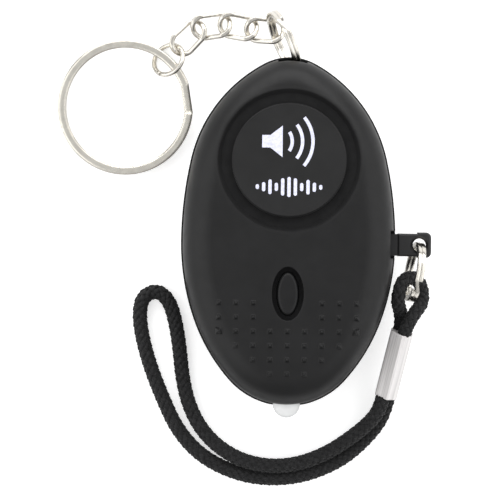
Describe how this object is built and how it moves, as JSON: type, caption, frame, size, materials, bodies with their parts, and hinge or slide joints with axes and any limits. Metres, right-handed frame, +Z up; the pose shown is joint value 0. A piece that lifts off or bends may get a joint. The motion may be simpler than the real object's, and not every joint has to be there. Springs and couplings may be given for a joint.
{
  "type": "personal safety alarm",
  "caption": "Egg-shaped personal alarm with a siren face, torch button, lamp, pull pin on a wrist strap, and a key ring on a curb chain.",
  "frame": {"origin": "centre of the flat on the back of the case, which rests on the table", "axes": "+X to the right across the case towards the pull pin, +Y along the case towards the key chain, +Z up through the front face"},
  "size_m": [0.0693, 0.088, 0.0193],
  "materials": {
    "black_abs": "fine matt",
    "disc": "satin",
    "steel": "zinc plated",
    "switch_body": "matt",
    "board": "solder mask",
    "chip": "matt",
    "copper_coil": "enamelled copper",
    "clear_lens": "clear epoxy",
    "brass": "rolled",
    "ceramic": "silvered ceramic",
    "bond": "silicone",
    "wire_jacket": "smooth",
    "cell_can": "nickel plated",
    "nickel": "nickel plated",
    "crimp_metal": "brushed",
    "strap_cord": "braided"
  },
  "bodies": {
    "case": {"front_shell": "black_abs", "rear_shell": "black_abs", "front_disc": "disc", "shell_screws": "steel", "torch_switch": "switch_body", "circuit_board": "board", "driver_chip": "chip", "step_up_coil": "copper_coil", "led_lens": "clear_lens", "led_leads": "steel", "piezo_plate": "brass", "piezo_ceramic": "ceramic", "piezo_bond": "bond", "piezo_wires": "wire_jacket", "button_cells": "cell_can", "flat_contact": "cell_can", "spring_contact": "cell_can", "trip_terminals": "brass"},
    "torch_button": {"torch_button": "black_abs"},
    "switch_plunger": {"switch_plunger": "black_abs"},
    "trip_leaf": {"trip_leaf": "brass"},
    "pin": {"pull_pin": "black_abs", "strap_crimp": "crimp_metal", "ring_loop": "strap_cord", "wrist_strap": "strap_cord"},
    "pin_ring": {"pin_ring": "nickel"},
    "anchor_ring": {"anchor_ring": "nickel"},
    "link_1": {"chain_link_1": "nickel"},
    "link_2": {"chain_link_2": "nickel"},
    "link_3": {"chain_link_3": "nickel"},
    "link_4": {"chain_link_4": "nickel"},
    "jump_ring": {"jump_ring": "nickel"},
    "key_ring": {"key_ring": "nickel"}
  },
  "joints": [
    {"name": "pin_slide", "type": "slide", "parent": "case", "child": "pin", "axis": [1, 0, 0], "range_m": [0, 0.018], "deforming": ["wrist_strap"]},
    {"name": "pin_ring_swing", "type": "hinge", "parent": "pin", "child": "pin_ring", "pos_m": [0.02337, -0.00714, 0.009], "axis": [0.1564, 0.9877, 0], "range_deg": [-10, 10]},
    {"name": "torch_press", "type": "slide", "parent": "case", "child": "torch_button", "axis": [0, 0, -1], "range_m": [0, 0.0004], "stiffness_N_per_m": 2500, "springref_m": -0.0002},
    {"name": "switch_press", "type": "slide", "parent": "case", "child": "switch_plunger", "axis": [0, 0, -1], "range_m": [0, 0.0004]},
    {"name": "trip_close", "type": "hinge", "parent": "case", "child": "trip_leaf", "pos_m": [0.0054, -0.00072, 0.009], "axis": [0, 0, -1], "range_deg": [0, 12.4]},
    {"name": "anchor_swing", "type": "hinge", "parent": "case", "child": "anchor_ring", "pos_m": [0.001, 0.03006, 0.009], "axis": [0, 0, 1], "range_deg": [-8, 4]},
    {"name": "link_1_swing", "type": "hinge", "parent": "anchor_ring", "child": "link_1", "pos_m": [-0.0022, 0.03703, 0.00438], "axis": [0, 0, -1], "range_deg": [-6, 20]},
    {"name": "link_2_swing", "type": "hinge", "parent": "link_1", "child": "link_2", "pos_m": [-0.00719, 0.03738, 0.0037], "axis": [0, 0, 1], "range_deg": [-20, 6]},
    {"name": "link_3_swing", "type": "hinge", "parent": "link_2", "child": "link_3", "pos_m": [-0.01212, 0.03828, 0.00307], "axis": [0, 0, -1], "range_deg": [-6, 20]},
    {"name": "link_4_swing", "type": "hinge", "parent": "link_3", "child": "link_4", "pos_m": [-0.01709, 0.03753, 0.00257], "axis": [0, 0, 1], "range_deg": [-20, 6]},
    {"name": "jump_swing", "type": "hinge", "parent": "link_4", "child": "jump_ring", "pos_m": [-0.02061, 0.03391, 0.00242], "axis": [0, 0, -1], "range_deg": [-6, 12]},
    {"name": "key_swing", "type": "hinge", "parent": "jump_ring", "child": "key_ring", "pos_m": [-0.02249, 0.0316, 0.00235], "axis": [0, 0, 1], "range_deg": [-20, 6]}
  ],
  "couplings": [
    {"joint": "switch_press", "follows": "torch_press", "ratio": 1},
    {"joint": "trip_close", "follows": "pin_slide", "rad_per_m": 12}
  ]
}
